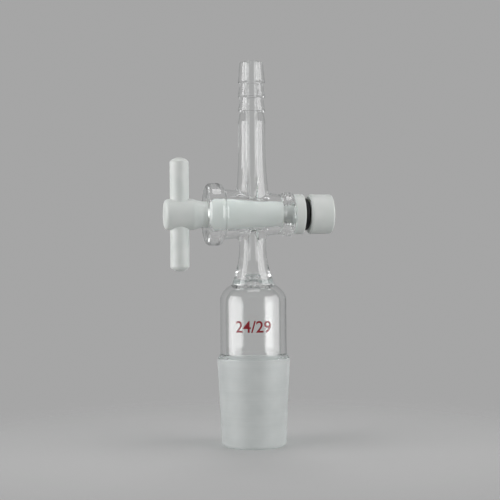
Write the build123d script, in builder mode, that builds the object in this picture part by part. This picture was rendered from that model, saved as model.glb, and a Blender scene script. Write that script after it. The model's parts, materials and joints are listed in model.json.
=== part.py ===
"""Glass stopcock: a hose adapter with a ground cone, a tapered barrel across it and a T-handled plug.

Millimetres. The origin is the centre of the cone's lower rim, +Z runs up the tube to the hose end,
and +X runs along the plug from its handle towards its nut. The handle stands upright: the stopcock is open.
"""
import os
from math import isclose, sqrt

from build123d import *

# Ground cone, a standard 24/29 taper joint
joint_wide_diameter = 24.0
joint_length = 29.0
joint_taper_share = 0.1
joint_wall = 2.0
joint_rim_round = 1.0
joint_mouth_round = 0.5
joint_shoulder = 1.3
joint_edge_round = 0.3

# Body above the cone, closed by a dome that draws in to the narrow tube
body_diameter = 22.0
body_length = 16.7
body_wall = 1.8
dome_height = 6.3
seam_diameter = 14.0
seam_round = 0.6
ceiling_depth = 0.5

# Narrow tubes below and above the barrel, drawn out a little where they are sealed to it
tube_diameter = 9.0
lower_flare_height = 13.5
lower_tube_length = 9.6
upper_tube_length = 30.6
seal_reach = 8.0
lower_seal_diameter = 9.3
upper_seal_diameter = 10.7
upper_seal_length = 14.5
seal_round = 1.2

# Passage: a hole into the body, a round-bottomed bore and a throat on each side of the plug
tube_bore = 4.4
bore_bottom_height = 1.0
hole_diameter = 2.6
hole_round = 0.7
throat_length = 9.0
port_wall = 1.0

# Serrated hose end, rolled into the tube, so that its ridges keep the tube's diameter
barb_count = 3
barb_pitch = 4.8
barb_step = 0.5
barb_run_in = 3.0
barb_valley_diameter = 7.8
barb_edge_round = 0.2
barb_tip_diameter = 7.7
barb_tip_length = 6.7
barb_tip_round = 0.45
barb_mouth_round = 0.5

# Tapered barrel across the tube, with a bead at the handle end and a collar at the nut end
barrel_handle_reach = 15.8
barrel_nut_reach = 13.6
barrel_wide_diameter = 16.6
barrel_narrow_diameter = 13.3
bead_diameter = 20.6
bead_length = 4.9
bead_slope = 1.3
bead_round = 1.7
collar_diameter = 14.6
collar_length = 3.4
collar_slope = 0.6
collar_round = 1.0
barrel_hollow_round = 0.8
barrel_mouth_chamfer = 0.5

# Plug with its T-handle and spindle
plug_diameter = 9.3
plug_taper_share = 0.1
plug_port = 3.0
plug_handle_reach = 15.0
plug_nut_reach = 9.8
plug_edge = 0.4
plug_clearance = 0.03
neck_diameter = 8.6
neck_length = 2.0
hub_diameter = 10.2
hub_length = 9.4
hub_reach = 5.1
hub_round = 1.5
handle_offset = 24.3
handle_length = 37.5
handle_diameter = 6.25
handle_dome = 1.5
handle_edge_round = 0.6
spindle_diameter = 6.8
spindle_edge = 0.5
spindle_recess = 0.7

# Washer, ring and nut on the spindle
seat_gap = 0.05
spindle_clearance = 0.05
washer_diameter = 13.4
washer_thickness = 3.3
washer_edge_round = 0.35
ring_section = 1.85
nut_diameter = 13.2
nut_length = 7.8
nut_inner_round = 0.9
nut_outer_round = 0.6
nut_mouth_chamfer = 0.4

# How far a cut runs past the face that it opens
overrun = 1.0

# Heights that follow from the sizes above
joint_narrow_diameter = joint_wide_diameter - joint_length * joint_taper_share
body_bottom = joint_length + joint_shoulder
body_top = body_bottom + body_length
seam_height = body_top + dome_height
flare_top = seam_height + lower_flare_height
plug_height = flare_top + lower_tube_length
barb_bottom = plug_height + upper_tube_length
first_ridge = barb_bottom + barb_run_in + barb_step
hose_end = first_ridge + (barb_count - 1) * barb_pitch + barb_tip_length

# Places along the plug that follow from the sizes above
washer_start = barrel_nut_reach + seat_gap
ring_start = washer_start + washer_thickness + seat_gap
nut_start = ring_start + ring_section + seat_gap
nut_end = nut_start + nut_length
spindle_end = nut_end - spindle_recess
spindle_hole = spindle_diameter / 2 + spindle_clearance

# Planes and axes of the outlines that turn about the plug and about its handle
plug_plane = Plane(origin=(0, 0, plug_height), x_dir=(1, 0, 0), z_dir=(0, -1, 0))
plug_axis = Axis((0, 0, plug_height), (1, 0, 0))
handle_plane = Plane(origin=(-handle_offset, 0, plug_height), x_dir=(1, 0, 0), z_dir=(0, -1, 0))
handle_axis = Axis((-handle_offset, 0, plug_height), (0, 0, 1))


def plug_radius(x):
    """Radius of the tapered plug at a place along its axis."""
    return plug_diameter / 2 - x * plug_taper_share / 2


def rings(part, radius):
    """The round edges of one radius on a turned part."""
    circles = part.edges().filter_by(GeomType.CIRCLE)
    return circles.filter_by(lambda edge: isclose(edge.radius, radius, rel_tol=1e-6))


# Glass body
with BuildPart() as glass_body:
    # Barrel: bead, tapering wall and collar, turned about the plug's axis
    with BuildSketch(plug_plane):
        with BuildLine():
            Polyline(
                (-barrel_handle_reach, 0),
                (-barrel_handle_reach, bead_diameter / 2),
                (-barrel_handle_reach + bead_length, bead_diameter / 2),
                (-barrel_handle_reach + bead_length + bead_slope, barrel_wide_diameter / 2),
                (barrel_nut_reach - collar_length - collar_slope, barrel_narrow_diameter / 2),
                (barrel_nut_reach - collar_length, collar_diameter / 2),
                (barrel_nut_reach, collar_diameter / 2),
                (barrel_nut_reach, 0),
                close=True,
            )
        make_face()
    revolve(axis=plug_axis)
    fillet(rings(glass_body, barrel_wide_diameter / 2), barrel_hollow_round)
    fillet(rings(glass_body, barrel_narrow_diameter / 2), barrel_hollow_round)
    fillet(rings(glass_body, bead_diameter / 2), bead_round)
    fillet(rings(glass_body, collar_diameter / 2), collar_round)

    # Narrow tube, which widens towards the barrel above and below it
    lower_seal = plug_height - seal_reach
    upper_seal = plug_height + seal_reach
    with BuildSketch(Plane.XZ):
        with BuildLine():
            lower_widening = TangentArc(
                (tube_diameter / 2, flare_top),
                (lower_seal_diameter / 2, lower_seal),
                tangent=(0, 1),
            )
            lower_run = PolarLine(lower_widening @ 1, seal_reach, direction=lower_widening % 1)
            upper_widening = TangentArc(
                (tube_diameter / 2, upper_seal + upper_seal_length),
                (upper_seal_diameter / 2, upper_seal),
                tangent=(0, -1),
            )
            upper_run = PolarLine(upper_widening @ 1, seal_reach, direction=upper_widening % 1)
            Line(lower_run @ 1, upper_run @ 1)
            Polyline(
                (tube_diameter / 2, upper_seal + upper_seal_length),
                (tube_diameter / 2, barb_bottom),
                (0, barb_bottom),
                (0, flare_top),
                (tube_diameter / 2, flare_top),
            )
        make_face()
    revolve(axis=Axis.Z)

    # Smooth flow of glass at both seals, which keeps to the plain wall between the bead and the collar
    seal_radius = upper_seal_diameter / 2
    bead_room = barrel_handle_reach - bead_length - bead_slope - barrel_hollow_round - seal_radius
    collar_room = barrel_nut_reach - collar_length - collar_slope - barrel_hollow_round - seal_radius
    fillet(glass_body.edges().filter_by(GeomType.BSPLINE), min(seal_round, bead_room, collar_room))

    # Cone, body, dome and flare, turned about the upright axis; the dome and the flare leave their
    # straight neighbours without a jump in curvature
    with BuildSketch(Plane.XZ):
        with BuildLine():
            Polyline(
                (tube_diameter / 2, flare_top),
                (0, flare_top),
                (0, 0),
                (joint_narrow_diameter / 2, 0),
                (joint_wide_diameter / 2, joint_length),
                (body_diameter / 2, body_bottom),
                (body_diameter / 2, body_top),
            )
            Bezier(
                (body_diameter / 2, body_top),
                (body_diameter / 2, body_top + dome_height * 0.32),
                (body_diameter / 2, body_top + dome_height * 0.64),
                (seam_diameter / 2, seam_height),
            )
            Bezier(
                (seam_diameter / 2, seam_height),
                (tube_diameter / 2, flare_top - lower_flare_height * 0.47),
                (tube_diameter / 2, flare_top - lower_flare_height * 0.23),
                (tube_diameter / 2, flare_top),
            )
        make_face()
    revolve(axis=Axis.Z)
    fillet(rings(glass_body, seam_diameter / 2), seam_round)
    fillet(rings(glass_body, joint_wide_diameter / 2), joint_edge_round)
    fillet(rings(glass_body, joint_narrow_diameter / 2), joint_rim_round)

    # Hose end: each serration widens downwards and then steps in
    ridge_outline = [(0, barb_bottom), (tube_diameter / 2, barb_bottom)]
    for serration in range(barb_count):
        ridge = first_ridge + serration * barb_pitch
        ridge_outline.append((barb_valley_diameter / 2, ridge - barb_step))
        ridge_outline.append((tube_diameter / 2, ridge))
    ridge_outline.append((barb_tip_diameter / 2, hose_end))
    ridge_outline.append((0, hose_end))
    with BuildSketch(Plane.XZ):
        with BuildLine():
            Polyline(*ridge_outline, close=True)
        make_face()
    revolve(axis=Axis.Z)
    fillet(rings(glass_body, barb_tip_diameter / 2).sort_by(Axis.Z)[-1], barb_tip_round)
    ridges = rings(glass_body, tube_diameter / 2).filter_by_position(Axis.Z, barb_bottom, hose_end)
    fillet(ridges, barb_edge_round)
    valleys = rings(glass_body, barb_valley_diameter / 2).filter_by_position(Axis.Z, barb_bottom, ridge)
    fillet(valleys, barb_edge_round)

    # Passage: open cone and body, hole, bore, and a throat down to the port on each side of the plug
    inside_radius = body_diameter / 2 - body_wall
    ceiling = seam_height - ceiling_depth
    bore_centre = seam_height + bore_bottom_height + tube_bore / 2
    hole_top = bore_centre - sqrt((tube_bore / 2) ** 2 - (hole_diameter / 2) ** 2)
    port_reach = plug_radius(0) + port_wall
    throat_reach = port_reach + throat_length
    mouth_radius = joint_narrow_diameter / 2 - joint_wall
    with BuildSketch(Plane.XZ):
        with BuildLine():
            TangentArc((tube_bore / 2, bore_centre), (hole_diameter / 2, hole_top), tangent=(0, -1))
            Line((tube_bore / 2, bore_centre), (tube_bore / 2, plug_height - throat_reach))
            for side in (-1, 1):
                Bezier(
                    (tube_bore / 2, plug_height + side * throat_reach),
                    (tube_bore / 2, plug_height + side * (throat_reach - throat_length * 0.45)),
                    (plug_port / 2, plug_height + side * (port_reach + throat_length * 0.45)),
                    (plug_port / 2, plug_height + side * port_reach),
                )
            Line((plug_port / 2, plug_height - port_reach), (plug_port / 2, plug_height + port_reach))
            Polyline(
                (tube_bore / 2, plug_height + throat_reach),
                (tube_bore / 2, hose_end + overrun),
                (0, hose_end + overrun),
                (0, -overrun),
                (mouth_radius, -overrun),
                (mouth_radius, 0),
                (joint_wide_diameter / 2 - joint_wall, joint_length),
                (inside_radius, body_bottom),
                (inside_radius, body_top),
            )
            Bezier(
                (inside_radius, body_top),
                (inside_radius, body_top + (ceiling - body_top) * 0.62),
                (inside_radius * 0.72, ceiling - (ceiling - body_top) * 0.09),
                (hole_diameter / 2, ceiling),
            )
            Line((hole_diameter / 2, ceiling), (hole_diameter / 2, hole_top))
        make_face()
    revolve(axis=Axis.Z, mode=Mode.SUBTRACT)
    fillet(rings(glass_body, hole_diameter / 2), hole_round)
    fillet(rings(glass_body, mouth_radius), joint_mouth_round)
    fillet(rings(glass_body, tube_bore / 2).sort_by(Axis.Z)[-1], barb_mouth_round)

    # Ground bore of the barrel, with its mouth eased for the plug
    handle_cut = -barrel_handle_reach - overrun
    nut_cut = barrel_nut_reach + overrun
    with BuildSketch(plug_plane):
        with BuildLine():
            Polyline(
                (handle_cut, 0),
                (handle_cut, plug_radius(handle_cut) + plug_clearance),
                (nut_cut, plug_radius(nut_cut) + plug_clearance),
                (nut_cut, 0),
                close=True,
            )
        make_face()
    revolve(axis=plug_axis, mode=Mode.SUBTRACT)
    handle_mouth = plug_radius(-barrel_handle_reach) + plug_clearance
    chamfer(rings(glass_body, handle_mouth), barrel_mouth_chamfer)

# Plug, in one piece with its hub, T-handle and spindle
with BuildPart() as stopcock_plug:
    handle_end = -plug_handle_reach
    hub_end = -handle_offset - hub_reach
    with BuildSketch(plug_plane):
        with BuildLine():
            Polyline(
                (hub_end, 0),
                (hub_end, hub_diameter / 2),
                (hub_end + hub_length, hub_diameter / 2),
                (handle_end - neck_length, neck_diameter / 2),
                (handle_end, neck_diameter / 2),
                (handle_end, plug_radius(handle_end) - plug_edge),
                (handle_end + plug_edge, plug_radius(handle_end + plug_edge)),
                (plug_nut_reach - plug_edge, plug_radius(plug_nut_reach - plug_edge)),
                (plug_nut_reach, plug_radius(plug_nut_reach) - plug_edge),
                (plug_nut_reach, spindle_diameter / 2),
                (spindle_end - spindle_edge, spindle_diameter / 2),
                (spindle_end, spindle_diameter / 2 - spindle_edge),
                (spindle_end, 0),
                close=True,
            )
        make_face()
    revolve(axis=plug_axis)
    fillet(rings(stopcock_plug, hub_diameter / 2), hub_round)

    # Port, in line with the tube while the handle stands upright
    with BuildSketch(Plane.XY.offset(plug_height)):
        Circle(plug_port / 2)
    extrude(amount=plug_radius(0) + overrun, both=True, mode=Mode.SUBTRACT)

    # T-handle: a round bar through the hub, domed at both ends
    with BuildSketch(handle_plane):
        with BuildLine():
            arm_end = handle_length / 2 - handle_dome
            Polyline((0, handle_length / 2), (0, 0), (handle_diameter / 2, 0), (handle_diameter / 2, arm_end))
            TangentArc((0, handle_length / 2), (handle_diameter / 2, arm_end), tangent=(1, 0))
        make_face()
        mirror(about=Plane.XZ)
    revolve(axis=handle_axis)
    arm_rings = rings(stopcock_plug, handle_diameter / 2).sort_by(Axis.Z)
    fillet([arm_rings[0], arm_rings[-1]], handle_edge_round)

# Washer that bears on the end of the barrel
with BuildPart() as washer:
    with BuildSketch(Plane.YZ.offset(washer_start)):
        with Locations((0, plug_height)):
            Circle(washer_diameter / 2)
            Circle(spindle_hole, mode=Mode.SUBTRACT)
    extrude(amount=washer_thickness)
    fillet(rings(washer, washer_diameter / 2), washer_edge_round)

# Rubber ring between the washer and the nut
with BuildPart() as o_ring:
    with BuildSketch(plug_plane):
        with Locations((ring_start + ring_section / 2, spindle_hole + ring_section / 2)):
            Circle(ring_section / 2)
    revolve(axis=plug_axis)

# Round nut on the spindle
with BuildPart() as nut:
    with BuildSketch(Plane.YZ.offset(nut_start)):
        with Locations((0, plug_height)):
            Circle(nut_diameter / 2)
            Circle(spindle_hole, mode=Mode.SUBTRACT)
    extrude(amount=nut_length)
    fillet(rings(nut, nut_diameter / 2).sort_by(Axis.X)[0], nut_inner_round)
    fillet(rings(nut, nut_diameter / 2).sort_by(Axis.X)[-1], nut_outer_round)
    chamfer(rings(nut, spindle_hole), nut_mouth_chamfer)

os.makedirs("parts", exist_ok=True)
glass_body.part.label = "glass_body"
export_step(glass_body.part, "parts/glass_body.step")
stopcock_plug.part.label = "stopcock_plug"
export_step(stopcock_plug.part, "parts/stopcock_plug.step")
washer.part.label = "washer"
export_step(washer.part, "parts/washer.step")
o_ring.part.label = "o_ring"
export_step(o_ring.part, "parts/o_ring.step")
nut.part.label = "nut"
export_step(nut.part, "parts/nut.step")
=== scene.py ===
"""Looks of the glass stopcock: clear and ground glass, turned white plug, rubber ring, studio light.

Metres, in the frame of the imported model: +Z up the tube, +X along the plug from its handle to its nut.
"""
import json
import math

import bpy
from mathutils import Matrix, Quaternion, Vector

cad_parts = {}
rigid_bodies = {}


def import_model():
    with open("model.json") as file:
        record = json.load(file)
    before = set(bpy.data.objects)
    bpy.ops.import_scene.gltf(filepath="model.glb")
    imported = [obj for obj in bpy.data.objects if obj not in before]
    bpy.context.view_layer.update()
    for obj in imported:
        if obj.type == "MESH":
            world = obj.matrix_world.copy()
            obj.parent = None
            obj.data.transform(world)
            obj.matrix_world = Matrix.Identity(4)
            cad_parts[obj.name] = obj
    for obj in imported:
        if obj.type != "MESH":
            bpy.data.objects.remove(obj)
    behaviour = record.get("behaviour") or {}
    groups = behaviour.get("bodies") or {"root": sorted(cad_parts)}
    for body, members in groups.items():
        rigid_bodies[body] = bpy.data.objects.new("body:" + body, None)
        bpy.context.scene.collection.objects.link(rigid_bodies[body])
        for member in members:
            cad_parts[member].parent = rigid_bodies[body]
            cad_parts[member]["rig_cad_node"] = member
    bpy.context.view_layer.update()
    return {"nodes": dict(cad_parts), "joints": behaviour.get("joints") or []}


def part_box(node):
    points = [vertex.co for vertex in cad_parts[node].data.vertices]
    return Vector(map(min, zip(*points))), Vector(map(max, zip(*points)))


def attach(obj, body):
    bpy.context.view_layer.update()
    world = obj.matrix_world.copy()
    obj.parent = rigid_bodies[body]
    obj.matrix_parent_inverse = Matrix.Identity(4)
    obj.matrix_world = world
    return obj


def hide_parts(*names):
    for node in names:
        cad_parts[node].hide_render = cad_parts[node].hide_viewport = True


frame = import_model()
nodes = frame["nodes"]
mm = 0.001

# Places that the frame gives
plug_height = frame["joints"][0]["pos_m"][2]
handle_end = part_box("stopcock_plug")[0].x
plug_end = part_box("stopcock_plug")[1].x

# Ground cone and body
cone_length = 29 * mm
cone_foot_radius = 10.55 * mm
cone_taper_share = 0.05
ground_skin = 0.45 * mm
body_radius = 11 * mm

# Hub of the handle, with the bar through its middle
hub_radius = 5.1 * mm
handle_middle = handle_end + hub_radius

# Spindle and its thread
spindle_radius = 3.4 * mm
spindle_start = 9.7 * mm
spindle_reach_share = 1.01
thread_pitch = 1.5 * mm
thread_root = 2.95 * mm
thread_crest = 3.37 * mm
ridge_corners = 4
half_width_of_pitch = 0.46
half_height_of_depth = 1.25
thread_start = 13.2 * mm
thread_runout = 0.6 * mm
thread_steps = 40
thread_crease = math.radians(40)
weld_distance = 0.0001 * mm

# Fired-on size mark of the joint
mark_text = "24/29"
mark_height = 3.7 * mm
digit_height_share = 0.7
mark_middle = 39.6 * mm
mark_lift = 0.012 * mm
mark_thickness = 0.03 * mm
mark_strips = 36
mark_boldness = 0.06 * mm
mark_crease = math.radians(30)

# Bands of a noise, whose values gather about a half, and the turn that stands a pattern upright
soft_band = (0.25, 0.75)
even_band = (0.3, 0.7)
sharp_band = (0.35, 0.65)
upright_turn = (0, math.radians(90), 0)

# Finish of the clear glass
glass_ior = 1.47
# Clear tint, and the painted shade that darkens the glass towards its edges
clear_and_edge_shade_tints = ((0.985, 0.99, 0.988), (0.40, 0.44, 0.43))
painted_edge_shade_band = (0.35, 1.0)
clear_lamp_tint = (0.93, 0.95, 0.95)
wave_size = 0.6 * mm

# Finish of the ground cone
ground_tints = ((0.70, 0.72, 0.715), (0.78, 0.795, 0.79))
ground_roughness = (0.36, 0.46)
ground_lamp_tint = (0.55, 0.58, 0.57)
ground_grain_size = 0.16 * mm
ground_mark_pitch = 0.9 * mm
ground_cloud_share = 0.6

# Finish of the white plug, washer and nut
ptfe_tints = ((0.73, 0.765, 0.74), (0.79, 0.81, 0.79))
ptfe_roughness = (0.36, 0.50)
ptfe_glow_depth = 0.8 * mm
ptfe_grain_size = 0.22 * mm
lathe_pitch = 0.45 * mm

# Finish of the rubber ring
rubber_tints = ((0.009, 0.009, 0.010), (0.018, 0.018, 0.019))
rubber_roughness = (0.55, 0.72)
rubber_grain_size = 0.14 * mm

# Finish of the size mark
red_tints = ((0.21, 0.010, 0.018), (0.31, 0.018, 0.026))
red_grain_size = 0.25 * mm

# Camera, as the photograph was taken
view_azimuth = math.radians(-11)
view_distance = 390 * mm
view_height = 64.6 * mm
view_offset = 0.9 * mm
view_roll = math.radians(-0.48)
lens_length = 84.8
sensor_width = 36.0

# Upright softboxes on both sides of the camera
softbox_distance = 0.30
softbox_height = 0.232
softbox_foot = 0.002
softbox_depth = 0.01
left_softbox_turn = math.radians(-67)
left_softbox_width = 0.30
left_softbox_radiance = 3.6
right_softbox_turn = math.radians(70)
right_softbox_width = 0.33
right_softbox_radiance = 3.3
face_radiance = 3.6
face_dim_radiance = 0.9
face_fade_band = (0.15, 1.0)

# Softboxes overhead and behind
top_softbox_size = 0.34
top_softbox_height = 0.75
top_softbox_radiance = 4.0
back_softbox_size = 0.4
back_softbox_distance = 0.5
back_softbox_height = 0.26
back_softbox_radiance = 2.4

# Floor, backdrop and light paths, whose depths are whole numbers
floor_level = 0.50
floor_glow = 0.02
floor_radius = 1.2
floor_sides = 96
floor_fade_band = (0.05, 0.15)
backdrop_level = 0.38
room_level = 0.03
between_none_and_one = 0.5
glass_passes = 10


def grey(level):
    """An opaque grey of a level."""
    return (level, level, level, 1)


def new_material(name):
    """A material with its node tree emptied, and its output node."""
    material = bpy.data.materials.new(name)
    material.use_nodes = True
    tree = material.node_tree
    tree.nodes.clear()
    return material, tree, tree.nodes.new("ShaderNodeOutputMaterial")


def math_node(tree, operation, first, second=None):
    """A Math node on sockets or plain numbers; returns its output."""
    node = tree.nodes.new("ShaderNodeMath")
    node.operation = operation
    for socket, value in zip(node.inputs, (first, second)):
        if value is None:
            continue
        if isinstance(value, (int, float)):
            socket.default_value = value
        else:
            tree.links.new(value, socket)
    return node.outputs[0]


def range_node(tree, value, band, to_band=(0.0, 1.0)):
    """A Map Range node that goes smoothly from one end of a band to the other; returns its output."""
    node = tree.nodes.new("ShaderNodeMapRange")
    node.interpolation_type = "SMOOTHSTEP"
    tree.links.new(value, node.inputs["Value"])
    for socket, number in zip(("From Min", "From Max", "To Min", "To Max"), (*band, *to_band)):
        node.inputs[socket].default_value = number
    return node.outputs["Result"]


def mix_shaders(tree, share, first, second):
    """A mix of two shaders by a share; returns its output."""
    mix = tree.nodes.new("ShaderNodeMixShader")
    tree.links.new(share, mix.inputs["Fac"])
    tree.links.new(first.outputs[0], mix.inputs[1])
    tree.links.new(second.outputs[0], mix.inputs[2])
    return mix.outputs[0]


def object_point(tree, centre=(0, 0, 0), turn=(0, 0, 0)):
    """Object coordinates about a centre, turned; returns the vector output."""
    coordinate = tree.nodes.new("ShaderNodeTexCoord")
    mapping = tree.nodes.new("ShaderNodeMapping")
    mapping.vector_type = "TEXTURE"
    mapping.inputs["Location"].default_value = centre
    mapping.inputs["Rotation"].default_value = turn
    tree.links.new(coordinate.outputs["Object"], mapping.inputs["Vector"])
    return mapping.outputs["Vector"]


def axes_of(tree, point):
    """The three parts of a point, by the names of their axes."""
    parts = tree.nodes.new("ShaderNodeSeparateXYZ")
    tree.links.new(point, parts.inputs[0])
    return parts.outputs


def new_group(name, inputs, outputs):
    """An empty shader node group with named inputs and outputs."""
    group = bpy.data.node_groups.new(name, "ShaderNodeTree")
    for socket, kind in inputs:
        group.interface.new_socket(name=socket, in_out="INPUT", socket_type=kind)
    for socket, kind in outputs:
        group.interface.new_socket(name=socket, in_out="OUTPUT", socket_type=kind)
    return group, group.nodes.new("NodeGroupInput"), group.nodes.new("NodeGroupOutput")


def turned_rings_group():
    """Rings that a lathe tool leaves: they change along X and outwards from it, and not round it."""
    group, given, result = new_group(
        "turned_rings",
        [("Point", "NodeSocketVector"), ("Pitch", "NodeSocketFloat")],
        [("Height", "NodeSocketFloat")],
    )
    parts = axes_of(group, given.outputs["Point"])
    across = math_node(group, "POWER", parts["Y"], 2.0)
    upward = math_node(group, "POWER", parts["Z"], 2.0)
    outward = math_node(group, "SQRT", math_node(group, "ADD", across, upward))
    profile = group.nodes.new("ShaderNodeCombineXYZ")
    for axis, distance in (("X", parts["X"]), ("Y", outward)):
        rings = math_node(group, "DIVIDE", distance, given.outputs["Pitch"])
        group.links.new(rings, profile.inputs[axis])
    noise = group.nodes.new("ShaderNodeTexNoise")
    noise.inputs["Scale"].default_value = 1.0
    noise.inputs["Detail"].default_value = 3.0
    group.links.new(profile.outputs[0], noise.inputs["Vector"])
    group.links.new(noise.outputs["Fac"], result.inputs["Height"])
    return group


def fine_grain_group():
    """Fine random grain of one size over a surface, and slow cloudiness that is a good deal larger."""
    group, given, result = new_group(
        "fine_grain",
        [("Point", "NodeSocketVector"), ("Size", "NodeSocketFloat")],
        [("Grain", "NodeSocketFloat"), ("Cloud", "NodeSocketFloat")],
    )
    for output, fineness, detail in (("Grain", 1.0, 4.0), ("Cloud", 0.03, 2.0)):
        noise = group.nodes.new("ShaderNodeTexNoise")
        noise.inputs["Detail"].default_value = detail
        group.links.new(given.outputs["Point"], noise.inputs["Vector"])
        scale = math_node(group, "DIVIDE", fineness, given.outputs["Size"])
        group.links.new(scale, noise.inputs["Scale"])
        group.links.new(noise.outputs["Fac"], result.inputs[output])
    return group


def place_group(tree, group, point, **values):
    """A node group in a material, reading a point and plain values; returns its outputs."""
    node = tree.nodes.new("ShaderNodeGroup")
    node.node_tree = group
    tree.links.new(point, node.inputs["Point"])
    for name, value in values.items():
        node.inputs[name].default_value = value
    return node.outputs


def bump(tree, height, strength, depth, before=None):
    """A Bump node on a height; returns its normal."""
    node = tree.nodes.new("ShaderNodeBump")
    node.inputs["Strength"].default_value = strength
    node.inputs["Distance"].default_value = depth
    tree.links.new(height, node.inputs["Height"])
    if before is not None:
        tree.links.new(before, node.inputs["Normal"])
    return node.outputs["Normal"]


def between_tints(tree, share, tints):
    """A colour between two tints; returns the colour output."""
    node = tree.nodes.new("ShaderNodeMix")
    node.data_type = "RGBA"
    # Sockets for numbers and vectors have the same names, so those for colours go by their place
    first_colour, second_colour, mixed_colour = 6, 7, 2
    node.inputs[first_colour].default_value = (*tints[0], 1)
    node.inputs[second_colour].default_value = (*tints[1], 1)
    tree.links.new(share, node.inputs["Factor"])
    return node.outputs[mixed_colour]


def let_lamps_through(tree, output, shader, tint):
    """Glass that rays from lamps pass straight through, so that what is behind it is lit."""
    path = tree.nodes.new("ShaderNodeLightPath")
    clear = tree.nodes.new("ShaderNodeBsdfTransparent")
    clear.inputs["Color"].default_value = (*tint, 1)
    surface = mix_shaders(tree, path.outputs["Is Shadow Ray"], shader, clear)
    tree.links.new(surface, output.inputs["Surface"])


def clear_glass_material():
    """Flame-worked clear glass, a little wavy, with painted shade that darkens its colour towards its
    edges.
    """
    material, tree, output = new_material("clear_glass")
    shader = tree.nodes.new("ShaderNodeBsdfPrincipled")
    shader.inputs["Roughness"].default_value = 0.0
    shader.inputs["IOR"].default_value = glass_ior
    shader.inputs["Transmission Weight"].default_value = 1.0
    # Painted shade: the colour darkens as the surface turns away from the view, towards the glass's edges
    edge = tree.nodes.new("ShaderNodeLayerWeight")
    edge.inputs["Blend"].default_value = 0.5
    share = range_node(tree, edge.outputs["Facing"], painted_edge_shade_band)
    tree.links.new(between_tints(tree, share, clear_and_edge_shade_tints), shader.inputs["Base Color"])
    waves = place_group(tree, fine_grain, object_point(tree), Size=wave_size)
    wavy = bump(tree, waves["Cloud"], strength=0.1, depth=0.1 * mm)
    tree.links.new(wavy, shader.inputs["Normal"])
    let_lamps_through(tree, output, shader, clear_lamp_tint)
    return material


def ground_glass_material():
    """Ground surface of the cone: frosted, with a fine even grain and faint marks round it."""
    material, tree, output = new_material("ground_glass")
    shader = tree.nodes.new("ShaderNodeBsdfPrincipled")
    shader.inputs["IOR"].default_value = glass_ior
    shader.inputs["Transmission Weight"].default_value = 0.5
    grain = place_group(tree, fine_grain, object_point(tree), Size=ground_grain_size)
    upright = object_point(tree, turn=upright_turn)
    marks = place_group(tree, turned_rings, upright, Pitch=ground_mark_pitch)
    clouds = math_node(tree, "MULTIPLY", grain["Cloud"], ground_cloud_share)
    streaks = math_node(tree, "MULTIPLY", marks["Height"], 1 - ground_cloud_share)
    mottle = math_node(tree, "ADD", clouds, streaks)
    share = range_node(tree, mottle, even_band)
    tree.links.new(between_tints(tree, share, ground_tints), shader.inputs["Base Color"])
    roughness = range_node(tree, mottle, even_band, ground_roughness)
    tree.links.new(roughness, shader.inputs["Roughness"])
    frosted = bump(tree, grain["Grain"], strength=0.35, depth=0.03 * mm)
    frosted = bump(tree, marks["Height"], strength=0.12, depth=0.02 * mm, before=frosted)
    tree.links.new(frosted, shader.inputs["Normal"])
    let_lamps_through(tree, output, shader, ground_lamp_tint)
    return material


def lathe_rings(tree, point):
    """Lathe rings round the plug, and on the handle's arms round the bar instead."""
    about_bar = object_point(tree, centre=(handle_middle, 0, plug_height), turn=upright_turn)
    plug_rings = place_group(tree, turned_rings, point, Pitch=lathe_pitch)["Height"]
    bar_rings = place_group(tree, turned_rings, about_bar, Pitch=lathe_pitch)["Height"]
    parts = axes_of(tree, point)
    at_handle = math_node(tree, "LESS_THAN", parts["X"], handle_middle + hub_radius)
    from_axis = math_node(tree, "ABSOLUTE", parts["Z"])
    off_hub = math_node(tree, "GREATER_THAN", from_axis, hub_radius)
    on_arms = math_node(tree, "MULTIPLY", at_handle, off_hub)
    difference = math_node(tree, "SUBTRACT", bar_rings, plug_rings)
    change = math_node(tree, "MULTIPLY", difference, on_arms)
    return math_node(tree, "ADD", plug_rings, change)


def white_ptfe_material():
    """White fluoropolymer, waxy and a little translucent, with faint lathe rings."""
    material, tree, output = new_material("white_ptfe")
    shader = tree.nodes.new("ShaderNodeBsdfPrincipled")
    shader.inputs["IOR"].default_value = 1.38
    shader.inputs["Subsurface Weight"].default_value = 0.18
    shader.inputs["Subsurface Radius"].default_value = (1.0, 1.0, 0.9)
    shader.inputs["Subsurface Scale"].default_value = ptfe_glow_depth
    point = object_point(tree, centre=(0, 0, plug_height))
    lathe = lathe_rings(tree, point)
    grain = place_group(tree, fine_grain, point, Size=ptfe_grain_size)
    share = range_node(tree, grain["Cloud"], even_band)
    tree.links.new(between_tints(tree, share, ptfe_tints), shader.inputs["Base Color"])
    roughness = range_node(tree, lathe, soft_band, ptfe_roughness)
    tree.links.new(roughness, shader.inputs["Roughness"])
    turned = bump(tree, lathe, strength=0.35, depth=0.025 * mm)
    turned = bump(tree, grain["Grain"], strength=0.15, depth=0.012 * mm, before=turned)
    tree.links.new(turned, shader.inputs["Normal"])
    tree.links.new(shader.outputs[0], output.inputs["Surface"])
    return material


def black_rubber_material():
    """Matt black rubber with a fine moulded grain."""
    material, tree, output = new_material("black_rubber")
    shader = tree.nodes.new("ShaderNodeBsdfPrincipled")
    shader.inputs["Specular IOR Level"].default_value = 0.25
    grain = place_group(tree, fine_grain, object_point(tree), Size=rubber_grain_size)
    share = range_node(tree, grain["Cloud"], sharp_band)
    tree.links.new(between_tints(tree, share, rubber_tints), shader.inputs["Base Color"])
    roughness = range_node(tree, grain["Grain"], even_band, rubber_roughness)
    tree.links.new(roughness, shader.inputs["Roughness"])
    moulded = bump(tree, grain["Grain"], strength=0.4, depth=0.02 * mm)
    tree.links.new(moulded, shader.inputs["Normal"])
    tree.links.new(shader.outputs[0], output.inputs["Surface"])
    return material


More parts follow.
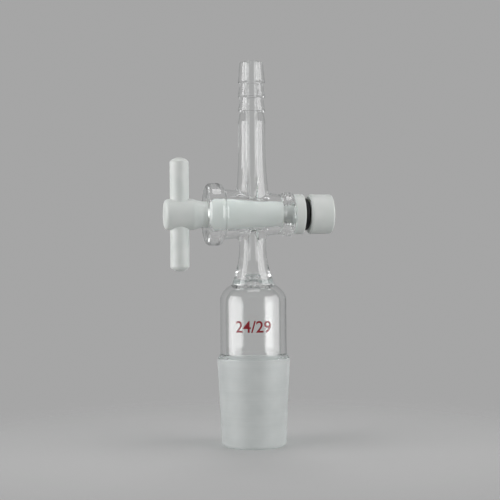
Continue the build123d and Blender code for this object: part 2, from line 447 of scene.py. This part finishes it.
def fired_red_material():
    """Red ceramic colour, fired on, a little uneven and glossy."""
    material, tree, output = new_material("fired_red")
    shader = tree.nodes.new("ShaderNodeBsdfPrincipled")
    shader.inputs["Roughness"].default_value = 0.22
    grain = place_group(tree, fine_grain, object_point(tree), Size=red_grain_size)
    share = range_node(tree, grain["Grain"], sharp_band)
    tree.links.new(between_tints(tree, share, red_tints), shader.inputs["Base Color"])
    uneven = bump(tree, grain["Grain"], strength=0.2, depth=0.01 * mm)
    tree.links.new(uneven, shader.inputs["Normal"])
    tree.links.new(shader.outputs[0], output.inputs["Surface"])
    return material


def dress(piece, material):
    """One material all over a piece."""
    piece.data.materials.clear()
    piece.data.materials.append(material)


def dress_glass(node, clear, ground):
    """Clear glass all over, and ground glass on the outside of the cone."""
    dress(node, clear)
    node.data.materials.append(ground)
    for face in node.data.polygons:
        middle = face.center
        outside = cone_foot_radius + middle.z * cone_taper_share - ground_skin
        on_cone = middle.z < cone_length and math.hypot(middle.x, middle.y) > outside
        face.material_index = 1 if on_cone else 0


def select_only(piece):
    """Makes one object the selected and active one."""
    bpy.ops.object.select_all(action="DESELECT")
    piece.select_set(True)
    bpy.context.view_layer.objects.active = piece


def edit_whole():
    """Goes into edit mode on the active object, with all of its mesh selected."""
    bpy.ops.object.mode_set(mode="EDIT")
    bpy.ops.mesh.select_all(action="SELECT")


def select_vertices(piece, wanted):
    """In edit mode, selects the vertices whose place is wanted, and no others."""
    bpy.ops.mesh.select_mode(type="VERT")
    bpy.ops.mesh.select_all(action="DESELECT")
    bpy.ops.object.mode_set(mode="OBJECT")
    for vertex in piece.data.vertices:
        vertex.select = wanted(vertex.co)
    bpy.ops.object.mode_set(mode="EDIT")


def on_spindle(place):
    """Whether a place of the plug is on its spindle."""
    from_axis = math.hypot(place.y, place.z - plug_height)
    return place.x > spindle_start and from_axis < spindle_radius * spindle_reach_share


def thread_ridge():
    """The ridge of a right-handed thread round the spindle, a diamond in section, closed at both ends."""
    half_width = thread_pitch * half_width_of_pitch
    half_height = (thread_crest - thread_root) * half_height_of_depth
    bpy.ops.object.select_all(action="DESELECT")
    bpy.ops.mesh.primitive_circle_add(vertices=ridge_corners, radius=1)
    ridge = bpy.context.object
    ridge.name = "thread_ridge"
    ridge.scale = (half_width, half_height, 1)
    bpy.ops.object.transform_apply(location=False, rotation=False, scale=True)
    edit_whole()
    bpy.ops.transform.translate(value=(thread_start, half_height - thread_crest, 0))
    bpy.ops.object.mode_set(mode="OBJECT")
    bpy.ops.object.modifier_add(type="SCREW")
    screw = ridge.modifiers[-1]
    screw.axis = "X"
    screw.angle = math.tau
    screw.screw_offset = thread_pitch
    screw.iterations = math.ceil((plug_end - thread_start) / thread_pitch)
    screw.steps = thread_steps
    screw.render_steps = thread_steps
    bpy.ops.object.modifier_apply(modifier=screw.name)
    edit_whole()
    bpy.ops.mesh.remove_doubles(threshold=weld_distance)
    bpy.ops.mesh.fill_holes(sides=0)
    bpy.ops.mesh.select_all(action="SELECT")
    runout = (plug_end - thread_runout, 0, 0)
    bpy.ops.mesh.bisect(plane_co=runout, plane_no=(1, 0, 0), clear_outer=True, use_fill=True)
    bpy.ops.mesh.select_all(action="SELECT")
    bpy.ops.mesh.normals_make_consistent(inside=False)
    bpy.ops.transform.translate(value=(0, 0, plug_height))
    bpy.ops.object.mode_set(mode="OBJECT")
    bpy.ops.object.shade_smooth_by_angle(angle=thread_crease)
    return ridge


def threaded_plug(material):
    """The plug with the thread that the real spindle carries."""
    select_only(nodes["stopcock_plug"])
    bpy.ops.object.duplicate()
    plug = bpy.context.object
    plug.name = "threaded_plug"
    del plug["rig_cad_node"]
    edit_whole()
    bpy.ops.mesh.remove_doubles(threshold=weld_distance, use_sharp_edge_from_normals=True)
    select_vertices(plug, on_spindle)
    share = thread_root / spindle_radius
    bpy.ops.transform.resize(value=(1, share, share), center_override=(0, 0, plug_height))
    bpy.ops.object.mode_set(mode="OBJECT")
    ridge = thread_ridge()
    select_only(plug)
    ridge.select_set(True)
    bpy.ops.object.join()
    dress(plug, material)
    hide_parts("stopcock_plug")
    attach(plug, "plug")


def size_mark(material):
    """The joint's size in fired-on numbers, which lie on the front of the body."""
    bpy.ops.object.select_all(action="DESELECT")
    bpy.ops.object.text_add()
    mark = bpy.context.object
    mark.name = "size_mark"
    mark.data.body = mark_text
    mark.data.align_x = "CENTER"
    mark.data.align_y = "CENTER"
    mark.data.size = mark_height / digit_height_share
    mark.data.offset = mark_boldness
    bpy.ops.object.convert(target="MESH")
    mark = bpy.context.object
    half = max(abs(vertex.co.x) for vertex in mark.data.vertices)
    edit_whole()
    bpy.ops.mesh.remove_doubles(threshold=weld_distance)
    for strip in range(1, mark_strips):
        cut = half * (2 * strip / mark_strips - 1)
        bpy.ops.mesh.select_all(action="SELECT")
        bpy.ops.mesh.bisect(plane_co=(cut, 0, 0), plane_no=(1, 0, 0))
    bpy.ops.object.mode_set(mode="OBJECT")
    out = body_radius + mark_lift
    for vertex in mark.data.vertices:
        angle = view_azimuth + vertex.co.x / body_radius
        vertex.co = (math.sin(angle) * out, -math.cos(angle) * out, mark_middle + vertex.co.y)
    select_only(mark)
    bpy.ops.object.modifier_add(type="SOLIDIFY")
    skin = mark.modifiers[-1]
    skin.thickness = mark_thickness
    skin.offset = 1
    bpy.ops.object.modifier_apply(modifier=skin.name)
    dress(mark, material)
    bpy.ops.object.shade_smooth_by_angle(angle=mark_crease)
    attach(mark, "glass")


def seen_directly(tree):
    """One where it is seen directly, in a mirror or through glass, and nought where it only gives light."""
    path = tree.nodes.new("ShaderNodeLightPath").outputs
    seen = math_node(tree, "MAXIMUM", path["Is Camera Ray"], path["Is Transmission Ray"])
    seen = math_node(tree, "MAXIMUM", seen, path["Is Glossy Ray"])
    unscattered = math_node(tree, "LESS_THAN", path["Diffuse Depth"], between_none_and_one)
    return math_node(tree, "MULTIPLY", seen, unscattered)


def floor_material():
    """Pale floor that takes the object's shadow and fades into the backdrop, away from the object."""
    material, tree, output = new_material("pale_floor")
    shader = tree.nodes.new("ShaderNodeBsdfDiffuse")
    shader.inputs["Color"].default_value = grey(floor_level)
    glow = tree.nodes.new("ShaderNodeEmission")
    strength = math_node(tree, "MULTIPLY", seen_directly(tree), floor_glow)
    tree.links.new(strength, glow.inputs["Strength"])
    pale = tree.nodes.new("ShaderNodeAddShader")
    tree.links.new(shader.outputs[0], pale.inputs[0])
    tree.links.new(glow.outputs[0], pale.inputs[1])
    clear = tree.nodes.new("ShaderNodeBsdfTransparent")
    length = tree.nodes.new("ShaderNodeVectorMath")
    length.operation = "LENGTH"
    tree.links.new(object_point(tree), length.inputs[0])
    fade = range_node(tree, length.outputs["Value"], floor_fade_band)
    tree.links.new(mix_shaders(tree, fade, pale, clear), output.inputs["Surface"])
    return material


def lay_floor():
    """A round floor under the object."""
    bpy.ops.object.select_all(action="DESELECT")
    bpy.ops.mesh.primitive_circle_add(vertices=floor_sides, radius=floor_radius, fill_type="NGON")
    floor = bpy.context.object
    floor.name = "floor"
    floor.data.materials.append(floor_material())


def light_world():
    """Dim room light, with a paler backdrop for what is seen directly, in a mirror or through glass."""
    world = bpy.data.worlds.new("studio")
    bpy.context.scene.world = world
    world.use_nodes = True
    tree = world.node_tree
    tree.nodes.clear()
    output = tree.nodes.new("ShaderNodeOutputWorld")
    room = tree.nodes.new("ShaderNodeBackground")
    room.inputs["Color"].default_value = grey(room_level)
    backdrop = tree.nodes.new("ShaderNodeBackground")
    backdrop.inputs["Color"].default_value = grey(backdrop_level)
    surroundings = mix_shaders(tree, seen_directly(tree), room, backdrop)
    tree.links.new(surroundings, output.inputs["Surface"])


def hang_softbox(name, place, aim, width, height, radiance):
    """A rectangular lamp at a place, facing a point."""
    lamp = bpy.data.lights.new(name, "AREA")
    lamp.shape = "RECTANGLE"
    lamp.size = width
    lamp.size_y = height
    lamp.energy = radiance * math.pi * width * height
    box = bpy.data.objects.new(name, lamp)
    box.location = place
    box.rotation_euler = (aim - place).to_track_quat("-Z", "Y").to_euler()
    box.visible_camera = False
    box.visible_transmission = False
    bpy.context.scene.collection.objects.link(box)
    return box


def softbox_face_material():
    """Bright cloth of a softbox, dimmer towards one side, for what glass and gloss mirror."""
    material, tree, output = new_material("softbox_cloth")
    glow = tree.nodes.new("ShaderNodeEmission")
    coordinate = tree.nodes.new("ShaderNodeTexCoord")
    across = axes_of(tree, coordinate.outputs["UV"])["X"]
    strength = range_node(tree, across, face_fade_band, (face_radiance, face_dim_radiance))
    tree.links.new(strength, glow.inputs["Strength"])
    clear = tree.nodes.new("ShaderNodeBsdfTransparent")
    path = tree.nodes.new("ShaderNodeLightPath").outputs
    mirrored = math_node(tree, "GREATER_THAN", path["Glossy Depth"], between_none_and_one)
    unscattered = math_node(tree, "LESS_THAN", path["Diffuse Depth"], between_none_and_one)
    shown = math_node(tree, "MULTIPLY", mirrored, unscattered)
    tree.links.new(mix_shaders(tree, shown, clear, glow), output.inputs["Surface"])
    material.cycles.emission_sampling = "NONE"
    return material


def hang_softbox_face(name, box, width, height, material):
    """The face of a softbox, close behind its lamp, which only mirrors and glass see."""
    bpy.ops.object.select_all(action="DESELECT")
    bpy.ops.mesh.primitive_plane_add(size=1)
    face = bpy.context.object
    face.name = name
    face.scale = (width, height, 1)
    face.rotation_euler = box.rotation_euler
    behind_lamp = box.rotation_euler.to_matrix() @ Vector((0, 0, softbox_depth))
    face.location = box.location + behind_lamp
    bpy.ops.object.transform_apply(location=True, rotation=True, scale=True)
    face.data.materials.append(material)
    face.visible_camera = False
    face.visible_diffuse = False
    face.visible_shadow = False


def from_camera_side(turn, distance, height):
    """A place round the object, turned from the camera's direction."""
    angle = view_azimuth + turn
    return Vector((math.sin(angle) * distance, -math.cos(angle) * distance, height))


def light_studio():
    """Two upright softboxes, one each side of the camera, one overhead and a fill from behind."""
    middle = softbox_foot + softbox_height / 2
    aim = Vector((0, 0, middle))
    cloth = softbox_face_material()
    for side, turn, width, radiance in (
        ("left", left_softbox_turn, left_softbox_width, left_softbox_radiance),
        ("right", right_softbox_turn, right_softbox_width, right_softbox_radiance),
    ):
        place = from_camera_side(turn, softbox_distance, middle)
        box = hang_softbox(f"{side}_softbox", place, aim, width, softbox_height, radiance)
        hang_softbox_face(f"{side}_softbox_face", box, width, softbox_height, cloth)
    size = top_softbox_size
    above = Vector((0, 0, top_softbox_height))
    hang_softbox("top_softbox", above, aim, size, size, top_softbox_radiance)
    size = back_softbox_size
    behind = from_camera_side(math.pi, back_softbox_distance, back_softbox_height)
    fill = hang_softbox("back_softbox", behind, aim, size, size, back_softbox_radiance)
    fill.visible_glossy = False


def set_camera():
    """The photograph's camera: level with the middle of the object and a little to its handle side."""
    across = Vector((math.cos(view_azimuth), math.sin(view_azimuth), 0))
    target = Vector((0, 0, view_height)) - across * view_offset
    place = from_camera_side(0, view_distance, view_height) - across * view_offset
    lens = bpy.data.cameras.new("photo_camera")
    lens.lens = lens_length
    lens.sensor_width = sensor_width
    camera = bpy.data.objects.new("photo_camera", lens)
    camera.location = place
    look = (target - place).to_track_quat("-Z", "Y")
    camera.rotation_euler = (look @ Quaternion((0, 0, 1), view_roll)).to_euler()
    bpy.context.scene.collection.objects.link(camera)
    bpy.context.scene.camera = camera


# Finishes and pieces of the object
turned_rings = turned_rings_group()
fine_grain = fine_grain_group()
white_ptfe = white_ptfe_material()
dress_glass(nodes["glass_body"], clear_glass_material(), ground_glass_material())
for name in ("stopcock_plug", "washer", "nut"):
    dress(nodes[name], white_ptfe)
dress(nodes["o_ring"], black_rubber_material())
threaded_plug(white_ptfe)
size_mark(fired_red_material())

# Studio, with as many reflections as light makes between the walls of thick glass
lay_floor()
light_world()
light_studio()
bpy.context.scene.cycles.glossy_bounces = glass_passes
set_camera()
bpy.context.scene.view_settings.view_transform = "Standard"
